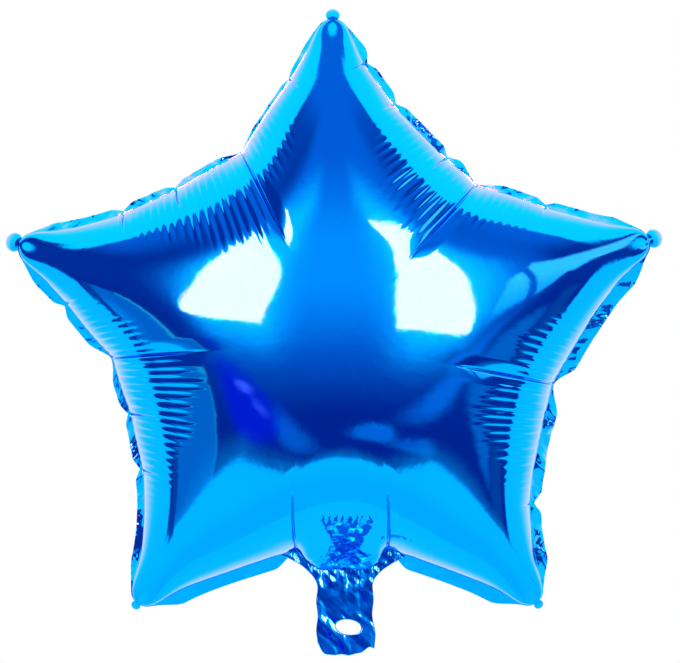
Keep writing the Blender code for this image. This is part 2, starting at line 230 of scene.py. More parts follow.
def bag_height(points):
    gaps = np.linalg.norm(points[:, None, :] - arm_ends[None, :, :], axis=2) + 1e-6
    end_gap = np.sum(gaps**-4.0, axis=1) ** -0.25
    near_end = CONE_RATE * end_gap**2 / (end_gap + CONE_START)
    round_width = near_end / (1.0 + (near_end / level_width) ** 6.0) ** (1.0 / 6.0)
    return np.sqrt(np.maximum(2.0 / np.maximum(closeness(points), 1e-9) * round_width, 0.0))


rows = 1.0 - np.cos(np.linspace(0.0, math.pi / 2.0, ROLL_ROWS + CROWN_ROWS + 1))
for edge in edges:
    rim = [np.column_stack((edge.weld(edge.columns), np.zeros(len(edge.columns))))]
    roll = edge.lines(edge.columns, rows[1:ROLL_ROWS + 1])
    roll_heights = np.split(bag_height(np.concatenate(roll)), len(roll))
    edge.roll = rim + [np.column_stack(pair) for pair in zip(roll, roll_heights)]
    edge.crown_columns = edge.columns if edge.neck else np.unique(np.append(edge.columns[::3], edge.length))
    crown = edge.lines(edge.crown_columns, rows[ROLL_ROWS + 1:])
    crown_heights = np.split(bag_height(np.concatenate(crown)), len(crown))
    edge.crown = [np.column_stack(pair) for pair in zip(crown, crown_heights)]
    steps = [np.linalg.norm(b - a, axis=1) for a, b in zip(edge.roll, edge.roll[1:])]
    edge.inward = np.vstack((np.zeros(len(edge.columns)), np.cumsum(steps, axis=0)))


# Front and back film.
# Each is one sheet, from the outer line of its margin to the middle of the star. Film that is too long for the
# shortened weld stands up in pleats, and the deepest folds cross the whole rolled edge. The margin is crinkled.

PLEAT_HEIGHT = 0.8
PLEAT_RISE = (10.0, 36.0)
SEAM_RIPPLE = 0.10
SEAM_RIPPLE_PITCH = 2.6
CREASE_DEPTH = 2.4
CREASE_END = 52.0
LIP = 0.35
PILLOW = 1.0  # how far the film swells between two creases
# Broad hollow along a valley's line: depth, half width, and distances in where it is deepest and where it ends
VALLEY_HOLLOW = (1.8, 10.0, 34.0, 84.0)
NECK_HOLLOW = (0.5, 8.0, 30.0, 70.0)
# The crease in its bottom: depth, half width and distance in from the weld where it ends
VALLEY_CREASE = (2.6, 1.1, 74.0)
NECK_CREASE = (2.4, 1.0, 50.0)
MARGIN_ROWS = 9
FILM_GAP = 0.12


def gathers(edge, chance):
    """How far the film stands off the smooth bag at each point of the roll, row by row."""
    along, inward = edge.columns, edge.inward
    share = along / edge.length
    pleat = np.clip(np.searchsorted(edge.pleats, along, side="right") - 1, 0, len(edge.pleats) - 2)
    across = np.clip((along - edge.pleats[pleat]) / np.diff(edge.pleats)[pleat], 0.0, 1.0)
    middles = 0.5 * (edge.pleats[1:] + edge.pleats[:-1]) / edge.length
    grown = 1.0 if edge.neck else smooth(middles, PLEAT_FROM - 0.05, 0.8)
    tall = PLEAT_HEIGHT * edge.pleat_height * grown * chance.uniform(0.75, 1.15, len(middles))
    tall = np.where(along >= edge.pleats[0], tall[pleat], 0.0)
    nearer = 1.0 if edge.neck else smooth(middles, 0.35, 0.92)
    reach = edge.pleat_reach * (0.45 + 0.55 * nearer) * chance.uniform(0.9, 1.04, len(middles))
    reach = reach[pleat]
    sway = 1.0 + 0.25 * np.sin(inward / 6.5 + chance.uniform(0.0, 6.0, len(middles))[pleat])
    shown = (0.22 + 0.78 * smooth(inward, *PLEAT_RISE)) * smooth(inward, 0.0, 4.0)
    lift = tall * sway * (np.sin(math.pi * across) - 0.4) * shown * (1.0 - smooth(inward, 0.7 * reach, reach))
    ripple = np.sin(2.0 * math.pi * along / SEAM_RIPPLE_PITCH) * smooth(along, 22.0, 50.0)
    lift = lift + SEAM_RIPPLE * ripple * smooth(inward, 0.0, 1.5) * (1.0 - smooth(inward, 3.0, 9.0))
    marks = [0.0] + [crease for crease, _ in edge.creases] + [1.0]
    for start, stop in zip(marks, marks[1:]):
        part = np.clip((share - start) / (stop - start), 0.0, 1.0)
        swell = PILLOW * np.sin(math.pi * part) ** 0.8 * smooth(inward, 0.0, 12.0) * smooth(along, 10.0, 60.0)
        lift = lift + swell * (1.0 - smooth(inward, 15.0, 45.0))
    for crease, deep in edge.creases:
        aside = np.abs(along - crease * edge.length)
        end = CREASE_END * (0.6 + 0.4 * deep)
        groove = np.clip(1.0 - aside / CREASE_HALF_WIDTH, 0.0, 1.0)
        lip = np.exp(-(((aside - 2.2 * CREASE_HALF_WIDTH) / (1.1 * CREASE_HALF_WIDTH)) ** 2))
        fade = smooth(inward, 0.0, 3.0) * (1.0 - smooth(inward, 0.35 * end, end))
        lift = lift + (LIP * lip - groove) * CREASE_DEPTH * deep * fade
    row = np.arange(ROLL_ROWS + 1)[:, None] / ROLL_ROWS
    return lift * (1.0 - smooth(row, 0.8, 1.0))


def hollow_depth(edge, x_z):
    """How deep the hollow along this edge's valley, with the crease in its bottom, is at these points."""
    depth, half_width, deepest, end = NECK_HOLLOW if edge.beside_neck else VALLEY_HOLLOW
    crease_depth, crease_width, crease_end = NECK_CREASE if edge.beside_neck else VALLEY_CREASE
    line = np.concatenate(edge.lines(np.array([edge.length]), rows))
    starts, runs = line[:-1], np.diff(line, axis=0)
    lengths = np.linalg.norm(runs, axis=1)
    part = np.clip(((x_z[:, None] - starts) * runs).sum(2) / lengths**2, 0.0, 1.0)
    gaps = np.linalg.norm(x_z[:, None] - starts - part[:, :, None] * runs, axis=2)
    nearest = gaps.argmin(axis=1)
    spot = np.arange(len(x_z))
    inward = np.cumsum(lengths)[nearest] - (1.0 - part[spot, nearest]) * lengths[nearest]
    gap = gaps[spot, nearest]
    broad = np.clip(1.0 - gap / half_width, 0.0, 1.0) ** 1.6
    broad = broad * smooth(inward, 4.0, deepest) * (1.0 - smooth(inward, deepest, end))
    narrow = np.clip(1.0 - gap / crease_width, 0.0, 1.0)
    narrow = narrow * smooth(inward, 0.0, 3.0) * (1.0 - smooth(inward, 0.5 * crease_end, crease_end))
    return depth * broad + crease_depth * narrow


def stitch(near, far):
    """Triangles between two rows of (distance along the edge, vertex number)."""
    faces, a, b = [], 0, 0
    while a < len(near) - 1 or b < len(far) - 1:
        near_next = b == len(far) - 1 or (a < len(near) - 1 and near[a + 1][0] <= far[b + 1][0])
        faces.append((near[a][1], far[b][1], near[a + 1][1] if near_next else far[b + 1][1]))
        a, b = (a + 1, b) if near_next else (a, b + 1)
    return faces


def crinkle(points, size, seed):
    """Heights of crumpled film, -1 to 1: flat facets of about this size that meet in sharp folds."""
    points = np.asarray(points) / size
    bent = points + 0.35 * np.sin(points[:, ::-1] * 1.7 + seed) + 0.2 * np.sin(points[:, ::-1] * 4.1 + 2.0 * seed)
    skewed = bent + 0.366 * bent.sum(1)[:, None]
    corner = np.floor(skewed).astype(int)
    part = skewed - corner
    heights = np.random.default_rng(seed).uniform(-1.0, 1.0, (64, 64))

    def at(step_x, step_z):
        return heights[(corner[:, 0] + step_x) % 64, (corner[:, 1] + step_z) % 64]

    low, high = part.min(1), part.max(1)
    side = np.where(part[:, 0] > part[:, 1], at(1, 0), at(0, 1))
    return at(0, 0) * (1.0 - high) + side * (high - low) + at(1, 1) * low


MARGIN_LEAN = 1.05  # how far the margin goes back for each millimetre outwards


def margin_lean(edge, off, spots):
    """How far back the margin lies at these points: it is bent back, most at the top, and wrinkled on the slant."""
    rough = 0.25 + 0.75 * smooth(edge.outward[1], -0.95, -0.2)
    lean = MARGIN_LEAN * (1.0 + 0.45 * edge.outward[1]) * (1.0 + 0.75 * rough * crinkle(spots, 13.0, 5))
    slanted = np.column_stack((edge.columns + 0.7 * off, 0.35 * off))
    wrinkled = 1.05 * crinkle(slanted, 5.5, 3) + 0.5 * crinkle(slanted, 2.6, 8)
    return lean * off + rough * wrinkled * smooth(off, 0.0, 3.0)


NECK_ABOVE_END = 40.0
NECK_CRUMPLE = 1.1
NECK_FINGERS = 0.22
FINGER_PITCH = 4.6
NECK_STRIPES = 0.03
STRIPE_PITCH = 3.8


def neck_crumple(x_z):
    """How far the film stands off in the neck: fine stripes, then fingers over a narrowing V of crumples.

    The V lies over the root of the tail, where the film was squashed when the tail was gripped."""
    below = np.linalg.norm(x_z, axis=1) - (neck_radius - NECK_ABOVE_END)
    across = x_z[:, 0] - tail_middle
    width = np.interp(below, (8.0, 18.0, 28.0, 38.0), (19.0, 15.0, 10.0, 40.0))
    inside = 1.0 - smooth(np.abs(across), 0.7 * width, width)
    tall = 0.6 * crinkle(x_z, 7.0, 12) + 0.4 * crinkle(x_z, 3.4, 4)
    fingers = np.sin(2.0 * math.pi * across / FINGER_PITCH + 1.2 * crinkle(x_z, 11.0, 6))
    fingers = fingers * smooth(below, 2.0, 8.0) * (1.0 - smooth(below, 14.0, 20.0))
    stripes = np.sin(2.0 * math.pi * across / STRIPE_PITCH) * (1.0 - smooth(np.abs(across), 17.0, 25.0))
    stripes = stripes * smooth(below, -26.0, -16.0) * (1.0 - smooth(below, 2.0, 10.0))
    crumples = NECK_CRUMPLE * tall * smooth(below, 9.0, 17.0)
    return inside * (crumples + NECK_FINGERS * fingers) + NECK_STRIPES * stripes


def make_film(name, facing, seed):
    """One film of the bag, facing -1 for the front and +1 for the back."""
    chance = np.random.default_rng(seed)
    places, lifts, faces = [], [], []

    def add_row(columns, x_z, out, lift):
        first = len(places)
        places.extend(np.column_stack((x_z[:, 0], facing * out, x_z[:, 1])))
        lifts.extend(np.broadcast_to(lift, len(columns)))
        return list(zip(columns, range(first, first + len(columns))))

    for edge in edges:
        columns, made = edge.columns, []
        weld, outward, width = edge.weld(columns), edge.outside_normals(columns), edge.margin_width(columns)
        for row in range(MARGIN_ROWS, 0, -1):
            off = row / MARGIN_ROWS * width
            spots = weld + off[:, None] * outward
            made.append(add_row(columns, spots, facing * margin_lean(edge, off, spots) + FILM_GAP, 0.0))
        lift = gathers(edge, chance)
        if edge.neck:
            held = smooth(edge.inward, 0.0, 5.0)
            lift = lift + held * np.array([neck_crumple(line[:, :2]) for line in edge.roll])
        for line, stand_off in zip(edge.roll, lift):
            stand_off = stand_off - hollow_depth(edge, line[:, :2])
            made.append(add_row(columns, line[:, :2], line[:, 2] + FILM_GAP, stand_off))
        for line in edge.crown:
            stand_off = -hollow_depth(edge, line[:, :2])
            if edge.neck:
                stand_off = stand_off + neck_crumple(line[:, :2])
            made.append(add_row(edge.crown_columns, line[:, :2], line[:, 2] + FILM_GAP, stand_off))
        for near, far in zip(made, made[1:]):
            faces.extend(stitch(near, far))
    data = bpy.data.meshes.new(name)
    data.from_pydata([tuple(place) for place in places], [], faces)
    film = bmesh.new()
    film.from_mesh(data)
    film.verts.ensure_lookup_table()
    layer = film.verts.layers.float.new("stand_off")
    for vertex, lift in zip(film.verts, lifts):
        vertex[layer] = float(lift)
    bmesh.ops.remove_doubles(film, verts=film.verts, dist=0.01)
    bmesh.ops.dissolve_degenerate(film, edges=film.edges, dist=1e-4)
    bmesh.ops.recalc_face_normals(film, faces=film.faces)
    if sum(face.normal.y * face.calc_area() for face in film.faces) * facing < 0.0:
        bmesh.ops.reverse_faces(film, faces=film.faces)
    film.normal_update()
    moves = [vertex.normal * vertex[layer] for vertex in film.verts]
    for vertex, move in zip(film.verts, moves):
        moved = vertex.co + move
        vertex.co = ((moved.x + STAR_MIDDLE[0]) * MM, moved.y * MM, (moved.z + STAR_MIDDLE[1]) * MM)
    film.verts.layers.float.remove(layer)
    film.to_mesh(data)
    film.free()
    data.shade_smooth()
    piece = bpy.data.objects.new(name, data)
    bpy.context.scene.collection.objects.link(piece)
    return piece


BLUE = (0.0, 0.37, 0.98, 1.0)
DEEP_BLUE = (0.0, 0.34, 0.95, 1.0)
POLISH = (0.035, 0.085)


def foil(name, bump_strength):
    """Mirror-bright blue film: a dyed lacquer over aluminium, so a tinted metal under a clear coat."""
    material = bpy.data.materials.new(name)
    material.use_nodes = True
    nodes, links = material.node_tree.nodes, material.node_tree.links
    shader = nodes["Principled BSDF"]
    shader.inputs["Metallic"].default_value = 1.0
    shader.inputs["Coat Weight"].default_value = 0.15
    shader.inputs["Coat Roughness"].default_value = 0.03
    place = nodes.new("ShaderNodeTexCoord")
    patches = nodes.new("ShaderNodeTexNoise")
    patches.inputs["Scale"].default_value = 14.0
    patches.inputs["Detail"].default_value = 3.0
    links.new(place.outputs["Object"], patches.inputs["Vector"])
    tint = nodes.new("ShaderNodeMix")
    tint.data_type = "RGBA"
    tint.inputs["A"].default_value = BLUE
    tint.inputs["B"].default_value = DEEP_BLUE
    links.new(patches.outputs["Fac"], tint.inputs["Factor"])
    links.new(tint.outputs["Result"], shader.inputs["Base Color"])
    polish = nodes.new("ShaderNodeMapRange")
    polish.inputs["To Min"].default_value, polish.inputs["To Max"].default_value = POLISH
    links.new(patches.outputs["Fac"], polish.inputs["Value"])
    links.new(polish.outputs["Result"], shader.inputs["Roughness"])
    ripple = nodes.new("ShaderNodeTexNoise")
    ripple.inputs["Scale"].default_value = 90.0
    ripple.inputs["Detail"].default_value = 2.0
    links.new(place.outputs["Object"], ripple.inputs["Vector"])
    bump = nodes.new("ShaderNodeBump")
    bump.inputs["Strength"].default_value = bump_strength
    bump.inputs["Distance"].default_value = 0.0004
    links.new(ripple.outputs["Fac"], bump.inputs["Height"])
    links.new(bump.outputs["Normal"], shader.inputs["Normal"])
    return material


def sum_node(tree, operation, *values, clamp=False):
    """One sum in a material or in the studio, on numbers and other nodes' results."""
    node = tree.nodes.new("ShaderNodeMath")
    node.operation = operation
    node.use_clamp = clamp
    for socket, value in zip(node.inputs, values):
        if isinstance(value, (int, float)):
            socket.default_value = value
        else:
            tree.links.new(value, socket)
    return node.outputs[0]


# Colours of the painted shade and the painted glints on the film over the tail
NECK_SHADE = (0.0, 0.05, 0.48, 1.0)
NECK_GLINT = (0.15, 0.85, 1.0, 1.0)
SHADE_ABOVE_END = 11.0  # the V's narrowest place, above the end of the neck
SHADE_TALL = 26.0
SHADE_HALF_WIDTH = 7.0  # at that place
SHADE_SPREAD = 0.45  # and how much it gains with each millimetre upwards
SHADE_ASIDE = 1.6
SHADE_WANDER = 4.0
FINGERS_TALL = 3.2
FOOT_SPREAD = 9.0


def shade_neck(material):
    """Painted shade over the tail: the base colour turns dark in a V, standing in for the dark reflections of the
    squashed film, with short fingers at its top and painted glints at its wide foot.
    """
    tree = material.node_tree
    nodes, links = tree.nodes, tree.links
    place = nodes.new("ShaderNodeTexCoord")
    split = nodes.new("ShaderNodeSeparateXYZ")
    links.new(place.outputs["Object"], split.inputs[0])
    painted_shade_glint_noise = nodes.new("ShaderNodeTexNoise")
    painted_shade_glint_noise.inputs["Scale"].default_value = 130.0
    painted_shade_glint_noise.inputs["Detail"].default_value = 2.0
    painted_shade_glint_noise.inputs["Distortion"].default_value = 0.8
    links.new(place.outputs["Object"], painted_shade_glint_noise.inputs["Vector"])
    wander = sum_node(tree, "MULTIPLY_ADD", painted_shade_glint_noise.outputs["Fac"], 2.0 * SHADE_WANDER, -SHADE_WANDER)
    middle = (tail_middle + SHADE_ASIDE + STAR_MIDDLE[0]) * MM
    across = sum_node(tree, "SUBTRACT", split.outputs[0], middle)
    across = sum_node(tree, "MULTIPLY_ADD", across, 1.0 / MM, wander)
    foot = (polar(*ARMS[3][:2])[1] + SHADE_ABOVE_END + STAR_MIDDLE[1]) * MM
    above = sum_node(tree, "SUBTRACT", split.outputs[2], foot)
    above = sum_node(tree, "MULTIPLY", above, 1.0 / MM)
    fingers = sum_node(tree, "SINE", sum_node(tree, "MULTIPLY", across, 2.0 * math.pi / FINGER_PITCH))
    top = sum_node(tree, "MULTIPLY_ADD", fingers, FINGERS_TALL, SHADE_TALL)
    under_top = sum_node(tree, "SUBTRACT", top, above, clamp=True)
    low = sum_node(tree, "MULTIPLY_ADD", above, -0.25, 0.8, clamp=True)
    half_width = sum_node(tree, "MULTIPLY_ADD", above, SHADE_SPREAD, SHADE_HALF_WIDTH)
    half_width = sum_node(tree, "ADD", half_width, sum_node(tree, "MULTIPLY", low, FOOT_SPREAD))
    beside = sum_node(tree, "SUBTRACT", half_width, sum_node(tree, "ABSOLUTE", across), clamp=True)
    # A ramp from the painted shade through the film's blue to the painted glints
    folds = nodes.new("ShaderNodeValToRGB")
    folds.color_ramp.elements[0].position = 0.54
    folds.color_ramp.elements[0].color = NECK_SHADE
    folds.color_ramp.elements[1].position = 0.74
    folds.color_ramp.elements[1].color = NECK_GLINT
    folds.color_ramp.elements.new(0.66).color = BLUE
    lighter = sum_node(tree, "MULTIPLY_ADD", low, 0.09, painted_shade_glint_noise.outputs["Fac"])
    links.new(lighter, folds.inputs["Fac"])
    shade = sum_node(tree, "MULTIPLY", under_top, beside)
    shader = nodes["Principled BSDF"]
    mix = nodes.new("ShaderNodeMix")
    mix.data_type = "RGBA"
    links.new(shader.inputs["Base Color"].links[0].from_socket, mix.inputs["A"])
    links.new(folds.outputs["Color"], mix.inputs["B"])
    links.new(shade, mix.inputs["Factor"])
    links.new(mix.outputs["Result"], shader.inputs["Base Color"])


bag_foil = foil("bag_foil", 0.15)
# Painted shade and painted glints in the film's colour, in a V over the tail
shade_neck(bag_foil)
for name, facing, seed in (("front_film", -1.0, 4), ("back_film", 1.0, 9)):
    film = make_film(name, facing, seed)
    film.data.materials.append(bag_foil)
    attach(film, "root")
    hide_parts("star_balloon")


# The tabs.
# Where two weld lines meet at the end of an arm, both films are cut round, which leaves a small disc. It is bent back
# with the margin and dished a little, so its rim curls away.

TAB_RINGS = 7
TAB_STEPS = 36
TAB_BACK = 1.15
TAB_DISH = 0.10
TAB_OVERLAP = 0.72
TAB_ROOT = 0.55  # share of the radius from the middle back to where the tab starts to bend
TAB_THICK = 0.3

tab_places, tab_faces = [], []
for angle, radius, tab_radius, *_ in ARMS:
    if not tab_radius:
        continue
    outwards, sideways = polar(angle, 1.0), polar(angle + 90.0, 1.0)
    middle = outwards * (radius + TAB_OVERLAP * tab_radius)
    first = len(tab_places)
    for ring in range(TAB_RINGS + 1):
        for step in range(TAB_STEPS if ring else 1):
            turn = 2.0 * math.pi * step / TAB_STEPS
            out = tab_radius * ring / TAB_RINGS * math.cos(turn)
            across = tab_radius * ring / TAB_RINGS * math.sin(turn)
            x, z = middle + outwards * out + sideways * across
            back = TAB_BACK * (out + TAB_ROOT * tab_radius) + TAB_DISH * (out * out + across * across)
            tab_places.append(((x + STAR_MIDDLE[0]) * MM, back * MM, (z + STAR_MIDDLE[1]) * MM))
    for step in range(TAB_STEPS):
        following = (step + 1) % TAB_STEPS
        tab_faces.append((first, first + 1 + step, first + 1 + following))
        for ring in range(TAB_RINGS - 1):
            inner = first + 1 + ring * TAB_STEPS
            outer = inner + TAB_STEPS
            tab_faces.append((inner + step, outer + step, outer + following, inner + following))
tab_data = bpy.data.meshes.new("end_tabs")
tab_data.from_pydata(tab_places, [], tab_faces)
tab_data.shade_smooth()
tabs = bpy.data.objects.new("end_tabs", tab_data)
bpy.context.scene.collection.objects.link(tabs)
tab_films = tabs.modifiers.new("two films", "SOLIDIFY")
tab_films.thickness = TAB_THICK * MM
tab_films.offset = 0.0
tabs.data.materials.append(bag_foil)
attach(tabs, "root")
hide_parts("star_balloon")


# The tail.
# Both films run on below the neck as a flat tail, through which the bag was filled. It was gripped and pulled, so it
# is crumpled, and its cut end is ragged. An oval hole is punched through it, for a ribbon.

TAIL_HALF_WIDTH = 19.6
TAIL_LENGTH = 61.0
TAIL_TOP = 16.0
TAIL_STEP = 0.8
TAIL_FLARE = 15.0
TAIL_THICK = 0.25
HOLE_SIZE = (9.0, 5.25)
HOLE_TILT = math.radians(-8.0)
HOLE_RIM = 1.35  # cut points nearer than this, in the hole's own size, are drawn onto its oval

neck_end = polar(*ARMS[3][:2])


def tail_sides(below):
    """Left and right side of the tail at this distance below the end of the neck."""
    flare = TAIL_FLARE * max(0.0, 1.0 - (below + 4.0) / 20.0) ** 2.5
    left = TAIL_HALF_WIDTH + flare + 0.5 * math.sin(0.31 * below + 0.6)
    right = TAIL_HALF_WIDTH + flare + 0.5 * math.sin(0.27 * below + 2.0) + 1.6 * float(smooth(below, 30.0, 52.0))
    return -left, right


def tail_end(share):
    """Where the cut end lies for a share of the width, from its rounded left corner to its ragged right one."""
    corner = 9.0 * max(0.0, 1.0 - share / 0.2) ** 2.2
    slant = 5.0 * float(smooth(share, 0.62, 0.95))
    return TAIL_LENGTH - corner - slant + 0.7 * math.sin(26.0 * share) * share


tail_rows = int((TAIL_LENGTH + TAIL_TOP) / TAIL_STEP)
tail_columns = int(2.2 * TAIL_HALF_WIDTH / TAIL_STEP)
tail_film = bmesh.new()
grid = []
for i in range(tail_rows + 1):
    line = []
    for j in range(tail_columns + 1):
        share = j / tail_columns
        below = -TAIL_TOP + (tail_end(share) + TAIL_TOP) * i / tail_rows
        left, right = tail_sides(below)
        line.append(tail_film.verts.new((tail_middle + left + (right - left) * share, 0.0, neck_end[1] - below)))
    grid.append(line)
for upper, lower in zip(grid, grid[1:]):
    for j in range(tail_columns):
        tail_film.faces.new((upper[j], upper[j + 1], lower[j + 1], lower[j]))


def hole_place(x, z):
    """How far out a point lies in the hole's own oval: 1 on its edge."""
    x, z = x - HOLE_FROM_STAR[0], z - HOLE_FROM_STAR[1]
    u = x * math.cos(HOLE_TILT) + z * math.sin(HOLE_TILT)
    v = -x * math.sin(HOLE_TILT) + z * math.cos(HOLE_TILT)
    return u / HOLE_SIZE[0], v / HOLE_SIZE[1]


punched = [face for face in tail_film.faces
           if math.hypot(*hole_place(face.calc_center_median().x, face.calc_center_median().z)) < 1.0]
bmesh.ops.delete(tail_film, geom=punched, context="FACES")
for vertex in tail_film.verts:
    u, v = hole_place(vertex.co.x, vertex.co.z)
    far = math.hypot(u, v)
    if vertex.is_boundary and far < HOLE_RIM:
        u, v = u / far * HOLE_SIZE[0], v / far * HOLE_SIZE[1]
        vertex.co.x = HOLE_FROM_STAR[0] + u * math.cos(HOLE_TILT) - v * math.sin(HOLE_TILT)
        vertex.co.z = HOLE_FROM_STAR[1] + u * math.sin(HOLE_TILT) + v * math.cos(HOLE_TILT)
spots = [(vertex.co.x, vertex.co.z) for vertex in tail_film.verts]
leaning = [(x + 0.35 * z, 0.55 * z) for x, z in spots]
broad, middling, fine = crinkle(leaning, 13.0, 2), crinkle(leaning, 6.0, 5), crinkle(leaning, 2.8, 11)
for vertex, a, b, c in zip(tail_film.verts, broad, middling, fine):
    below = neck_end[1] - vertex.co.z
    upper = 1.0 - float(smooth(below, -4.0, 26.0))
    folds = math.sin(0.75 * (vertex.co.x - tail_middle) + 1.2 * a) * upper
    vertex.co.y = 0.55 * a + (0.2 + 0.25 * upper) * b + (0.07 + 0.1 * upper) * c + 0.6 * folds
    vertex.co = ((vertex.co.x + STAR_MIDDLE[0]) * MM, vertex.co.y * MM, (vertex.co.z + STAR_MIDDLE[1]) * MM)
bmesh.ops.recalc_face_normals(tail_film, faces=tail_film.faces)
tail_data = bpy.data.meshes.new("tail_films")
tail_film.to_mesh(tail_data)
tail_film.free()
tail_data.shade_smooth()
tail = bpy.data.objects.new("tail_films", tail_data)
bpy.context.scene.collection.objects.link(tail)
welded_films = tail.modifiers.new("two films", "SOLIDIFY")
welded_films.thickness = TAIL_THICK * MM
welded_films.offset = 0.0
tail.data.materials.append(foil("tail_foil", 0.3))
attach(tail, "root")
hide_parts("star_balloon")


# The studio.
# The balloon hangs over a pale floor in front of a white sweep. In front of it the room is dim, with two soft boxes
# and a window. The mirror film shows all of it, so the room is drawn for the reflections.

FLOOR_BELOW = 0.36
FLOOR_HALF = 1.6
FLOOR_COLOUR = (0.86, 0.86, 0.87, 1.0)
PLAIN_LIGHT = (0.75, 0.77, 0.80)
WHITE = (1.0, 1.0, 1.0)
scene = bpy.context.scene
scene.view_settings.view_transform = "Standard"

world = bpy.data.worlds.new("studio")
scene.world = world
world.use_nodes = True
nodes, links = world.node_tree.nodes, world.node_tree.links
nodes.clear()


def math_node(operation, *values, clamp=False):
    """One sum in the studio's drawing."""
    return sum_node(world.node_tree, operation, *values, clamp=clamp)


def rise(value, low, high):
    """0 below low, 1 above high, with a soft rise between."""
    node = nodes.new("ShaderNodeMapRange")
    node.interpolation_type = "SMOOTHSTEP"
    node.inputs["From Min"].default_value = low
    node.inputs["From Max"].default_value = high
    links.new(value, node.inputs["Value"])
    return node.outputs["Result"]


def blend_colour(factor, first, second):
    node = nodes.new("ShaderNodeMix")
    node.data_type = "RGBA"
    links.new(factor, node.inputs["Factor"])
    for key, value in (("A", first), ("B", second)):
        if isinstance(value, tuple):
            node.inputs[key].default_value = (*value, 1.0)
        else:
            links.new(value, node.inputs[key])
    return node.outputs["Result"]


def band(value, low, high, edge):
    """1 between low and high, with soft edges."""
    return math_node("SUBTRACT", rise(value, low - edge, low + edge), rise(value, high - edge, high + edge))


def both(first, second):
    return math_node("MULTIPLY", first, second)


def without(value):
    return math_node("SUBTRACT", 1.0, value)


toward = nodes.new("ShaderNodeTexCoord").outputs["Generated"]
split = nodes.new("ShaderNodeSeparateXYZ")
links.new(toward, split.inputs[0])
right, back, up = split.outputs
bearing = math_node("DEGREES", math_node("ARCTAN2", right, math_node("MULTIPLY", back, -1.0)))
height = math_node("DEGREES", math_node("ARCSINE", up))
aside = math_node("ABSOLUTE", bearing)


def oval(middle, size, tilt, soft):
    """1 inside a tilted oval part of the room, given in degrees of bearing and height, with a soft edge."""
    across = math_node("SUBTRACT", bearing, middle[0])
    rising = math_node("SUBTRACT", height, middle[1])
    cosine, sine = math.cos(math.radians(tilt)), math.sin(math.radians(tilt))
    long = math_node("ADD", both(across, cosine / size[0]), both(rising, sine / size[0]))
    short = math_node("SUBTRACT", both(rising, cosine / size[1]), both(across, sine / size[1]))
    far = math_node("SQRT", math_node("ADD", both(long, long), both(short, short)))
    return without(rise(far, 1.0 - soft, 1.0 + soft))


NAVY = (0.0, 0.045, 0.29)
ROOM_BLUE = (0.02, 0.30, 0.72)
GLOW_BLUE = (0.02, 0.74, 1.05)
BOX_HAZE = (0.05, 1.4, 1.5)
SOFT_BOX = (130.0, 4.5, 4.2)
WINDOW_TOP = (4.0, 1.75, 1.7)
WINDOW_FOOT = (0.1, 1.1, 1.3)
MULLION = (0.0, 0.24, 0.62)
PANEL_BLUE = (0.0, 0.33, 0.62)
PANEL_RIM = (1.5, 1.2, 0.85)
DEEP_PATCH = (0.0, 0.03, 0.66)
LAMP_GLINT = (8.0, 0.5, 1.6)
STOOL_BLUE = (0.0, 0.42, 0.85)
LIT_CLOTH = (0.0, 0.42, 0.72)
DARK_CORNER = (0.0, 0.13, 0.36)
FLOOR_NEAR = (0.02, 1.27, 1.35)
FLOOR_FAR = (0.02, 1.12, 1.35)
SWEEP_HIGH = (0.05, 1.68, 1.6)
SWEEP_LOW = (0.05, 1.30, 1.5)
SWEEP_WHITE = (1.6, 1.35, 1.5)
REAR_LOW = (0.0, 0.09, 0.42)
REAR_HIGH = (0.02, 0.62, 1.0)

leftward = both(bearing, -1.0)
dim_side = math_node("ADD", rise(leftward, 24.0, 44.0), rise(bearing, 34.0, 60.0))
dim_side = both(dim_side, without(rise(height, 36.0, 64.0)))
lit = both(rise(height, -18.0, 6.0), without(both(dim_side, 0.9)))
room = blend_colour(lit, NAVY, ROOM_BLUE)
glow = both(without(rise(aside, 8.0, 46.0)), both(rise(height, -4.0, 15.0), without(rise(height, 20.0, 42.0))))
room = blend_colour(glow, room, GLOW_BLUE)

# The window, at the right: two panes, its foot rising with the bearing
foot = math_node("ADD", both(rise(bearing, 48.0, 66.0), 12.0), both(rise(bearing, 70.0, 95.0), 8.0))
above_foot = rise(math_node("SUBTRACT", height, foot), -2.5, 1.5)
past_side = rise(math_node("SUBTRACT", bearing, both(rise(height, 14.0, 32.0), 7.0)), 34.5, 36.5)
pane = both(both(above_foot, without(rise(height, 27.0, 32.0))), both(past_side, without(rise(bearing, 86.0, 94.0))))
leaning = math_node("ADD", bearing, both(height, 0.28))
bars = math_node("MULTIPLY_ADD", math_node("SINE", both(leaning, 3.4)), 0.10, 0.88)
glass = blend_colour(rise(height, -4.0, 20.0), WINDOW_FOOT, WINDOW_TOP)
glass = blend_colour(band(leaning, 45.0, 47.6, 0.5), glass, MULLION)
room = blend_colour(both(pane, bars), room, glass)

# Low on the left, a panel with a bright rim
panel = both(band(bearing, -84.0, -37.5, 1.5), band(height, -34.0, -10.0, 1.2))
room = blend_colour(panel, room, PANEL_BLUE)
rim = math_node("MAXIMUM", both(band(bearing, -60.0, -37.5, 1.0), band(height, -10.8, -9.4, 0.5)),
                both(both(band(bearing, -38.2, -37.2, 0.5), band(height, -24.0, -9.8, 4.0)), 0.5))
room = blend_colour(both(rim, 0.7), room, PANEL_RIM)

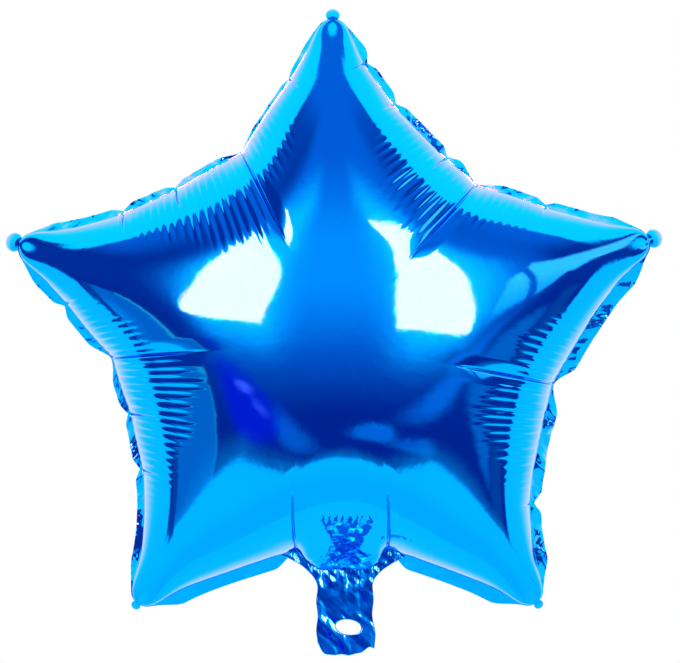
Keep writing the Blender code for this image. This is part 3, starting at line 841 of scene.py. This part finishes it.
# Things that stand low in the room, the later ones in front: middle, size and tilt in degrees, softness, strength
# and colour
LOW_THINGS = (
    ((-21.0, -14.5), (12.5, 5.5), -36.0, 0.45, 1.0, DEEP_PATCH),  # a deep blue cloth on the left, with two glints
    ((-22.5, -9.8), (2.6, 0.9), -10.0, 0.7, 0.6, LAMP_GLINT),
    ((-17.5, -14.0), (3.0, 0.8), -38.0, 0.7, 0.3, LAMP_GLINT),
    ((-8.0, -24.0), (9.0, 2.2), -62.0, 0.6, 0.6, STOOL_BLUE),  # the leg of a stand
    ((52.0, -14.0), (13.0, 3.4), -14.0, 0.4, 0.7, LIT_CLOTH),
    ((7.0, -23.0), (4.6, 3.4), 20.0, 0.35, 0.8, STOOL_BLUE),  # a round stool and the light on its seat
    ((8.0, -20.4), (1.8, 0.6), 0.0, 0.7, 0.35, GLOW_BLUE),
    ((29.0, -11.0), (14.0, 2.6), 22.0, 0.6, 0.8, STOOL_BLUE),  # a curved back rest and its seat
    ((16.5, -25.0), (7.0, 2.4), 18.0, 0.5, 0.6, STOOL_BLUE),
)
for middle, size, tilt, soft, strength, colour in LOW_THINGS:
    room = blend_colour(both(oval(middle, size, tilt, soft), strength), room, colour)
room = blend_colour(both(band(bearing, 67.0, 82.0, 4.0), band(height, -28.0, -9.0, 3.0)), room, DARK_CORNER)

# The two soft boxes and the haze round them
haze = both(band(bearing, -34.0, -10.0, 6.5), band(height, -2.0, 37.0, 7.5))
haze = math_node("MAXIMUM", haze, both(band(bearing, 10.0, 36.0, 7.5), band(height, -5.0, 38.0, 7.5)))
room = blend_colour(both(haze, haze), room, BOX_HAZE)
outer = math_node("ADD", -35.5, both(rise(height, 0.0, 20.0), 5.5))
inner = math_node("ADD", both(rise(height, 15.0, 36.0), -12.0), both(rise(height, 2.0, 15.0), 2.6))
inner = math_node("ADD", inner, -15.6)
foot = math_node("ADD", 2.0, both(rise(bearing, -36.0, -22.0), 2.2))
left_box = both(rise(math_node("SUBTRACT", bearing, outer), -0.5, 0.5),
                rise(math_node("SUBTRACT", inner, bearing), -0.5, 0.5))
left_box = both(left_box, both(rise(math_node("SUBTRACT", height, foot), -0.5, 0.5),
                               without(rise(height, 33.5, 35.0))))
outer = math_node("SUBTRACT", 31.0, both(rise(height, -2.0, 16.0), 3.4))
inner = math_node("ADD", 12.0, both(rise(height, 8.0, 26.0), 4.5))
inner = math_node("SUBTRACT", inner, both(rise(height, 26.0, 29.0), 3.0))
foot = math_node("SUBTRACT", 3.0, both(rise(bearing, 13.0, 34.0), 5.0))
head = math_node("ADD", 29.0, both(rise(bearing, 12.0, 30.0), 5.0))
right_box = both(rise(math_node("SUBTRACT", bearing, inner), -0.5, 0.5),
                 rise(math_node("SUBTRACT", outer, bearing), -0.5, 0.5))
right_box = both(right_box, both(rise(math_node("SUBTRACT", height, foot), -0.5, 0.5),
                                 rise(math_node("SUBTRACT", head, height), -0.5, 0.5)))
room = blend_colour(math_node("ADD", left_box, right_box, clamp=True), room, SOFT_BOX)

# The floor in front, and behind the sweep, with the far end of the room and two more soft boxes beyond it
FLOOR_LOW = -44.0  # height of the floor's far edge between its arcs
MIDDLE_ARC = (1.2, 5.0, 6.0)  # middle, half width and rise
LEFT_ARC = (3.8, 19.0, 18.5)  # start, width and rise
RIGHT_ARC = (6.2, 14.0, 15.5)
across = math_node("MULTIPLY_ADD", bearing, 1.0 / MIDDLE_ARC[1], -MIDDLE_ARC[0] / MIDDLE_ARC[1])
middle_arc = math_node("POWER", math_node("SUBTRACT", 1.0, both(across, across), clamp=True), 0.8)
side_arcs = []
for outwards, (start, width, arc_rise) in ((leftward, LEFT_ARC), (bearing, RIGHT_ARC)):
    share = math_node("MULTIPLY_ADD", outwards, 1.0 / width, -start / width, clamp=True)
    side_arcs.append(both(math_node("POWER", share, 0.75), arc_rise))
edge_of_floor = math_node("ADD", math_node("MULTIPLY_ADD", middle_arc, MIDDLE_ARC[2], FLOOR_LOW),
                          math_node("ADD", *side_arcs))
above_floor = math_node("SUBTRACT", height, edge_of_floor)
pale = blend_colour(rise(height, -68.0, -40.0), FLOOR_FAR, FLOOR_NEAR)
room = blend_colour(both(without(rise(above_floor, 0.0, 9.0)), 0.25), room, pale)
room = blend_colour(without(rise(above_floor, -1.5, 2.0)), room, pale)
room = blend_colour(both(band(bearing, -84.5, -77.0, 1.5), band(height, -30.0, -9.0, 3.0)), room, DARK_CORNER)
behind = rise(back, -0.04, 0.015)
sweep = blend_colour(rise(height, -12.0, 34.0), SWEEP_LOW, SWEEP_HIGH)
sweep = blend_colour(rise(back, 0.48, 0.76), sweep, SWEEP_WHITE)
rear_room = blend_colour(rise(height, -16.0, 8.0), REAR_LOW, REAR_HIGH)
rear_bearing = math_node("ABSOLUTE", math_node("DEGREES", math_node("ARCTAN2", right, back)))
REAR_BOX_ACROSS = (5.0, 13.0)
REAR_BOX_UP = (2.5, 13.0)
rear_box = both(band(rear_bearing, *REAR_BOX_ACROSS, 0.5), band(height, *REAR_BOX_UP, 0.5))
rear_haze = both(band(rear_bearing, *REAR_BOX_ACROSS, 3.5), band(height, *REAR_BOX_UP, 3.5))
rear_room = blend_colour(both(rear_haze, 0.8), rear_room, BOX_HAZE)
rear_room = blend_colour(rear_box, rear_room, SOFT_BOX)
sweep = blend_colour(rise(back, 0.88, 0.97), sweep, rear_room)
studio = blend_colour(behind, room, sweep)
rays = nodes.new("ShaderNodeLightPath")
seen = math_node("MAXIMUM", rays.outputs["Is Camera Ray"], rays.outputs["Is Transmission Ray"])
surroundings = blend_colour(rays.outputs["Is Glossy Ray"], PLAIN_LIGHT, studio)
surroundings = blend_colour(seen, surroundings, WHITE)
background = nodes.new("ShaderNodeBackground")
links.new(surroundings, background.inputs["Color"])
output = nodes.new("ShaderNodeOutputWorld")
links.new(background.outputs[0], output.inputs["Surface"])

floor_data = bpy.data.meshes.new("floor")
floor_shape = bmesh.new()
bmesh.ops.create_grid(floor_shape, x_segments=2, y_segments=2, size=FLOOR_HALF)
floor_shape.to_mesh(floor_data)
floor_shape.free()
floor = bpy.data.objects.new("floor", floor_data)
floor.location = (0.0, 0.0, solid_box[0][2] - FLOOR_BELOW)
floor.visible_glossy = False
bpy.context.scene.collection.objects.link(floor)
floor_material = bpy.data.materials.new("pale_floor")
floor_material.use_nodes = True
floor_shader = floor_material.node_tree.nodes["Principled BSDF"]
floor_shader.inputs["Base Color"].default_value = FLOOR_COLOUR
floor_shader.inputs["Roughness"].default_value = 0.9
floor.data.materials.append(floor_material)

# The overhead lamp, which lights the floor and casts the shadow on it
key_data = bpy.data.lights.new("overhead_lamp", "AREA")
key_data.energy = 26.0
key_data.size = 1.2
key = bpy.data.objects.new("overhead_lamp", key_data)
key.location = (-0.5, -0.7, 1.9)
key.rotation_euler = (math.radians(22.0), math.radians(-14.0), 0.0)
key.visible_glossy = False
bpy.context.scene.collection.objects.link(key)


# The camera.
# It looks straight at the front from two paces away, at the height of the star's middle, through a long lens.

PICTURE_WIDTH = 0.476
CAMERA_AWAY = 2.2
PICTURE_MIDDLE = (STAR_MIDDLE[0] * MM + 0.0035, STAR_MIDDLE[1] * MM + 0.0066)

camera_data = bpy.data.cameras.new("camera")
camera_data.sensor_width = 36.0
camera_data.lens = camera_data.sensor_width * CAMERA_AWAY / PICTURE_WIDTH
camera_data.clip_end = 20.0
camera = bpy.data.objects.new("camera", camera_data)
camera.location = (PICTURE_MIDDLE[0], -CAMERA_AWAY, PICTURE_MIDDLE[1])
camera.rotation_euler = (math.radians(90.0), 0.0, 0.0)
bpy.context.scene.collection.objects.link(camera)
scene.camera = camera
